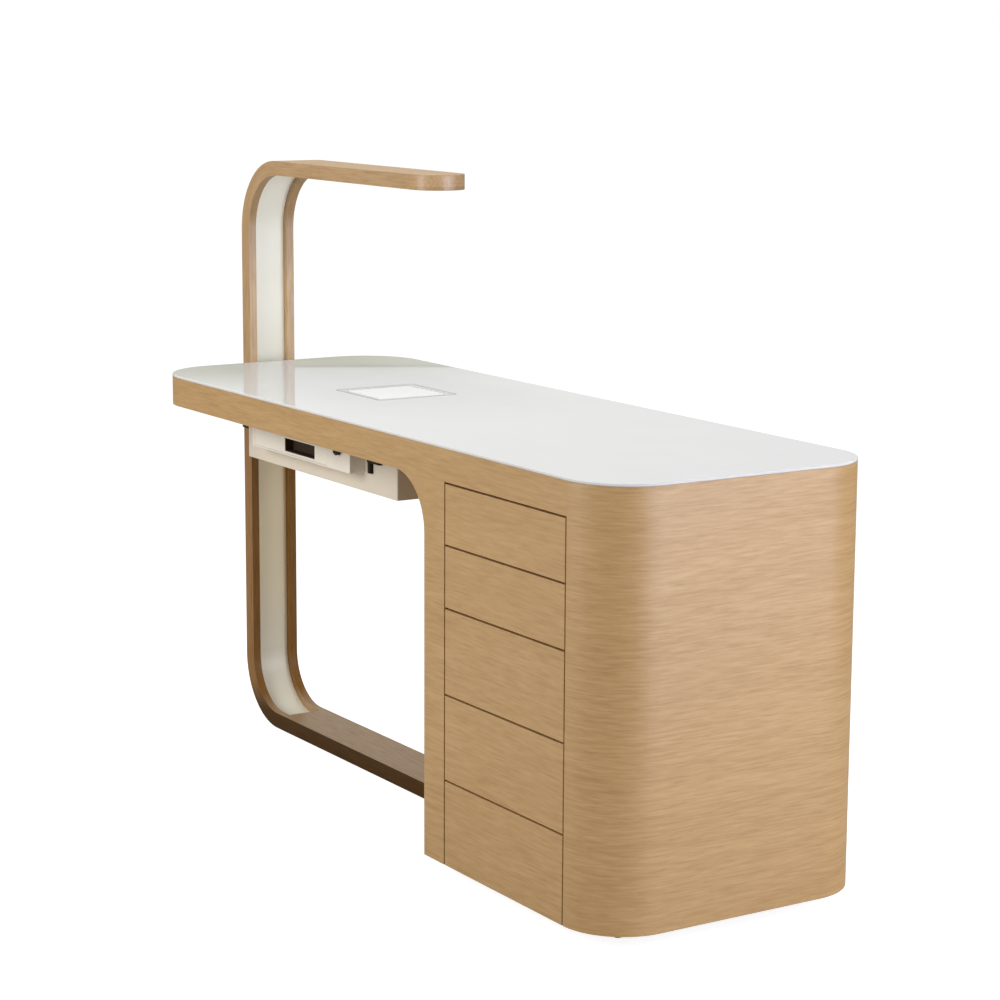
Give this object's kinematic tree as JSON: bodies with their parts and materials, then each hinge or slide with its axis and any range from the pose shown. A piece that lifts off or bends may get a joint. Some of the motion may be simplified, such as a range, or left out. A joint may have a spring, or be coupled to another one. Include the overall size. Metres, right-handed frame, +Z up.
{
  "type": "manicure table",
  "caption": "Manicure table with a drawer pedestal, glossy white worktop, wooden C-shaped lamp band, dust intake and pull-out dust filter.",
  "frame": {"origin": "on the floor, under the middle of the table's overall box", "axes": "+Z up; +X along the desk from the lamp post towards the drawer pedestal; -Y is the side where the drawers open"},
  "size_m": [1.638, 0.543, 1.165],
  "materials": {
    "oak_veneer": "open-pore satin veneer",
    "white_glass": "white back-painted glass, glossy",
    "carcass_board": "melamine-faced board",
    "liner_white": "satin white liner",
    "lamp_diffuser": "opal",
    "led_board": "satin",
    "led_chips": "phosphor",
    "dark_steel": "satin black",
    "screws": "bright",
    "collector_white": "powder coat",
    "bezel_white": "satin moulding",
    "cover_white": "gloss moulding",
    "black_plastic": "fine texture",
    "runner_steel": "zinc plated",
    "filter_card": "plain",
    "filter_media": "pleated media",
    "fan_plastic": "moulded",
    "motor_metal": "machined",
    "dark_lining": "matte brown",
    "felt": "felt"
  },
  "bodies": {
    "table": {"arm_shell": "oak_veneer", "back_frame": "oak_veneer", "bracket_screws": "screws", "channel_liner": "liner_white", "collector_bezel": "bezel_white", "collector_housing": "collector_white", "collector_top": "collector_white", "drawer_catches": "black_plastic", "end_shell": "oak_veneer", "fan_bulkhead": "collector_white", "fan_motor": "motor_metal", "fan_shroud": "fan_plastic", "floor_glides": "felt", "foot_shell": "oak_veneer", "front_frame": "oak_veneer", "intake_duct": "black_plastic", "intake_frame": "cover_white", "lamp_diffuser": "lamp_diffuser", "lead_cover": "black_plastic", "led_board": "led_board", "led_chips": "led_chips", "left_apron": "oak_veneer", "left_runner_panel": "carcass_board", "left_side_panel": "oak_veneer", "pedestal_bottom": "carcass_board", "plinth": "dark_steel", "post_bracket_back": "dark_steel", "post_bracket_front": "dark_steel", "post_shell": "oak_veneer", "power_inlet": "black_plastic", "power_supply": "black_plastic", "right_runner_panel": "carcass_board", "runner_channels": "runner_steel", "speed_control": "motor_metal", "worktop_board": "carcass_board", "worktop_glass": "white_glass"},
    "drawer_1": {"drawer_front_1": "oak_veneer", "drawer_box_1": "carcass_board", "drawer_runners_1": "runner_steel"},
    "drawer_2": {"drawer_front_2": "oak_veneer", "drawer_box_2": "carcass_board", "drawer_runners_2": "runner_steel"},
    "drawer_3": {"drawer_front_3": "oak_veneer", "drawer_box_3": "carcass_board", "drawer_runners_3": "runner_steel"},
    "drawer_4": {"drawer_front_4": "oak_veneer", "drawer_box_4": "carcass_board", "drawer_runners_4": "runner_steel"},
    "drawer_5": {"drawer_front_5": "oak_veneer", "drawer_box_5": "carcass_board", "drawer_runners_5": "runner_steel"},
    "filter_drawer": {"filter_drawer_front": "bezel_white", "pull_lining": "dark_lining", "filter_tray": "bezel_white", "filter_frame": "filter_card", "filter_pad": "filter_media"},
    "intake_cover": {"intake_cover": "cover_white"},
    "speed_knob": {"speed_knob": "black_plastic"},
    "power_rocker": {"power_rocker": "black_plastic"},
    "fan_impeller": {"fan_impeller": "fan_plastic"}
  },
  "joints": [
    {"name": "drawer_1_slide", "type": "slide", "parent": "table", "child": "drawer_1", "axis": [0, -1, 0], "range_m": [0, 0.34]},
    {"name": "drawer_2_slide", "type": "slide", "parent": "table", "child": "drawer_2", "axis": [0, -1, 0], "range_m": [0, 0.34]},
    {"name": "drawer_3_slide", "type": "slide", "parent": "table", "child": "drawer_3", "axis": [0, -1, 0], "range_m": [0, 0.34]},
    {"name": "drawer_4_slide", "type": "slide", "parent": "table", "child": "drawer_4", "axis": [0, -1, 0], "range_m": [0, 0.34]},
    {"name": "drawer_5_slide", "type": "slide", "parent": "table", "child": "drawer_5", "axis": [0, -1, 0], "range_m": [0, 0.34]},
    {"name": "filter_drawer_slide", "type": "slide", "parent": "table", "child": "filter_drawer", "axis": [0, -1, 0], "range_m": [0, 0.28]},
    {"name": "intake_cover_lift", "type": "slide", "parent": "table", "child": "intake_cover", "axis": [0, 0, 1], "range_m": [0, 0.06]},
    {"name": "speed_knob_turn", "type": "hinge", "parent": "table", "child": "speed_knob", "pos_m": [-0.127, -0.209, 0.673], "axis": [0, -1, 0], "range_deg": [0, 270]},
    {"name": "power_rocker_tilt", "type": "hinge", "parent": "table", "child": "power_rocker", "pos_m": [-0.036, -0.182, 0.674], "axis": [1, 0, 0], "range_deg": [-14, 0]},
    {"name": "fan_spin", "type": "hinge", "parent": "table", "child": "fan_impeller", "pos_m": [-0.075, 0, 0.6635], "axis": [1, 0, 0], "continuous": true}
  ]
}
